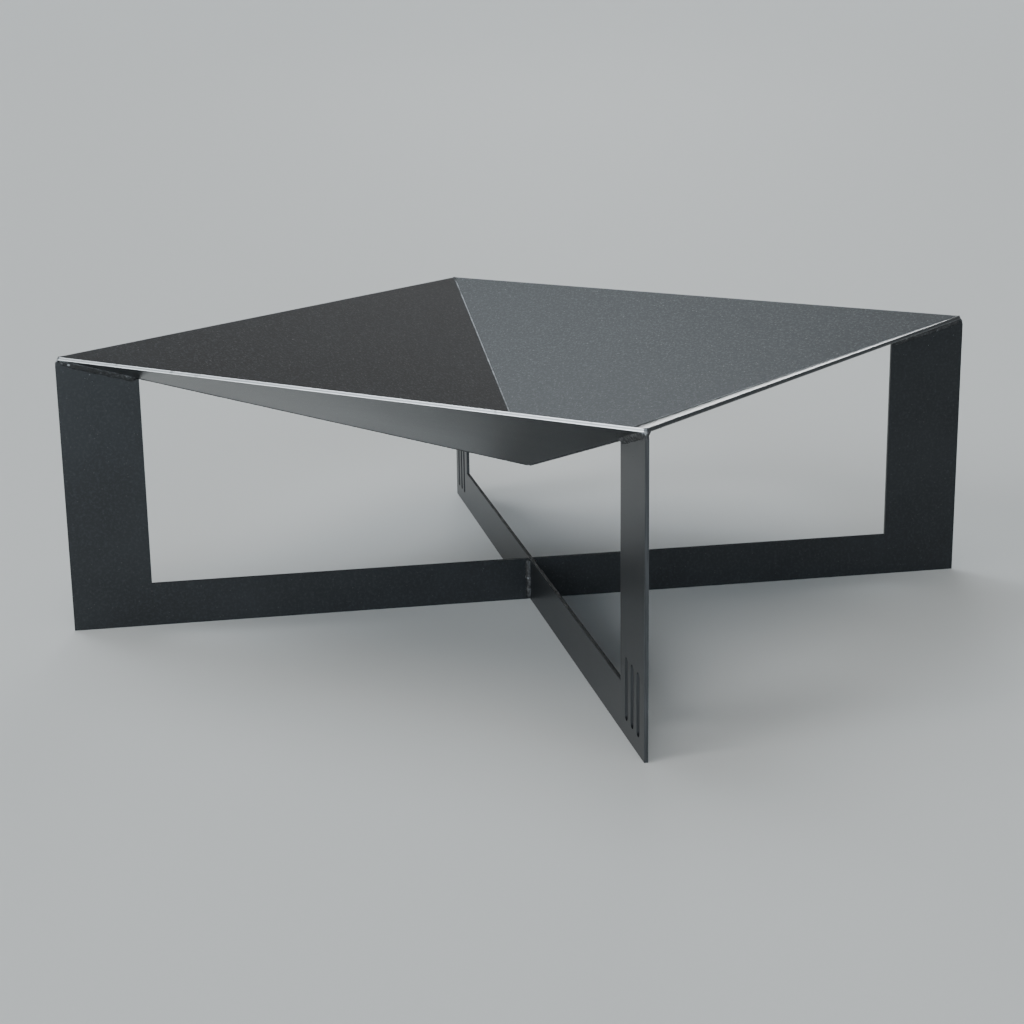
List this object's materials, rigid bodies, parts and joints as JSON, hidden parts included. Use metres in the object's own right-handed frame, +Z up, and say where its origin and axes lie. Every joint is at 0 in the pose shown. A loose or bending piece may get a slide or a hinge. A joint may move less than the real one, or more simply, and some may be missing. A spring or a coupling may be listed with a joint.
{
  "type": "fire pit",
  "caption": "Square inverted-pyramid steel fire bowl held at its corners by flat U-shaped plates that cross under it.",
  "frame": {"origin": "on the ground, at the centre of the object, straight under the bowl's lowest point", "axes": "+Z up; +X and +Y along the bowl's sides, so the frame plates stand on the diagonals; -Y is the front"},
  "size_m": [0.758, 0.758, 0.317],
  "materials": {
    "bowl_paint": "satin black heat-resistant paint with a fine texture",
    "frame_paint": "satin black powder coat",
    "weld_paint": "painted weld bead"
  },
  "bodies": {
    "root": {"bowl_panel_front": "bowl_paint", "bowl_panel_right": "bowl_paint", "bowl_panel_back": "bowl_paint", "bowl_panel_left": "bowl_paint", "seam_weld_front_right": "weld_paint", "seam_weld_back_right": "weld_paint", "seam_weld_back_left": "weld_paint", "seam_weld_front_left": "weld_paint", "frame_plate_plain": "frame_paint", "frame_plate_slotted": "frame_paint", "leg_weld_front_right_on_front": "weld_paint", "leg_weld_front_right_on_right": "weld_paint", "leg_weld_back_right_on_right": "weld_paint", "leg_weld_back_right_on_back": "weld_paint", "leg_weld_back_left_on_back": "weld_paint", "leg_weld_back_left_on_left": "weld_paint", "leg_weld_front_left_on_left": "weld_paint", "leg_weld_front_left_on_front": "weld_paint", "cross_weld_front": "weld_paint", "cross_weld_right": "weld_paint", "cross_weld_back": "weld_paint", "cross_weld_left": "weld_paint"}
  },
  "joints": []
}
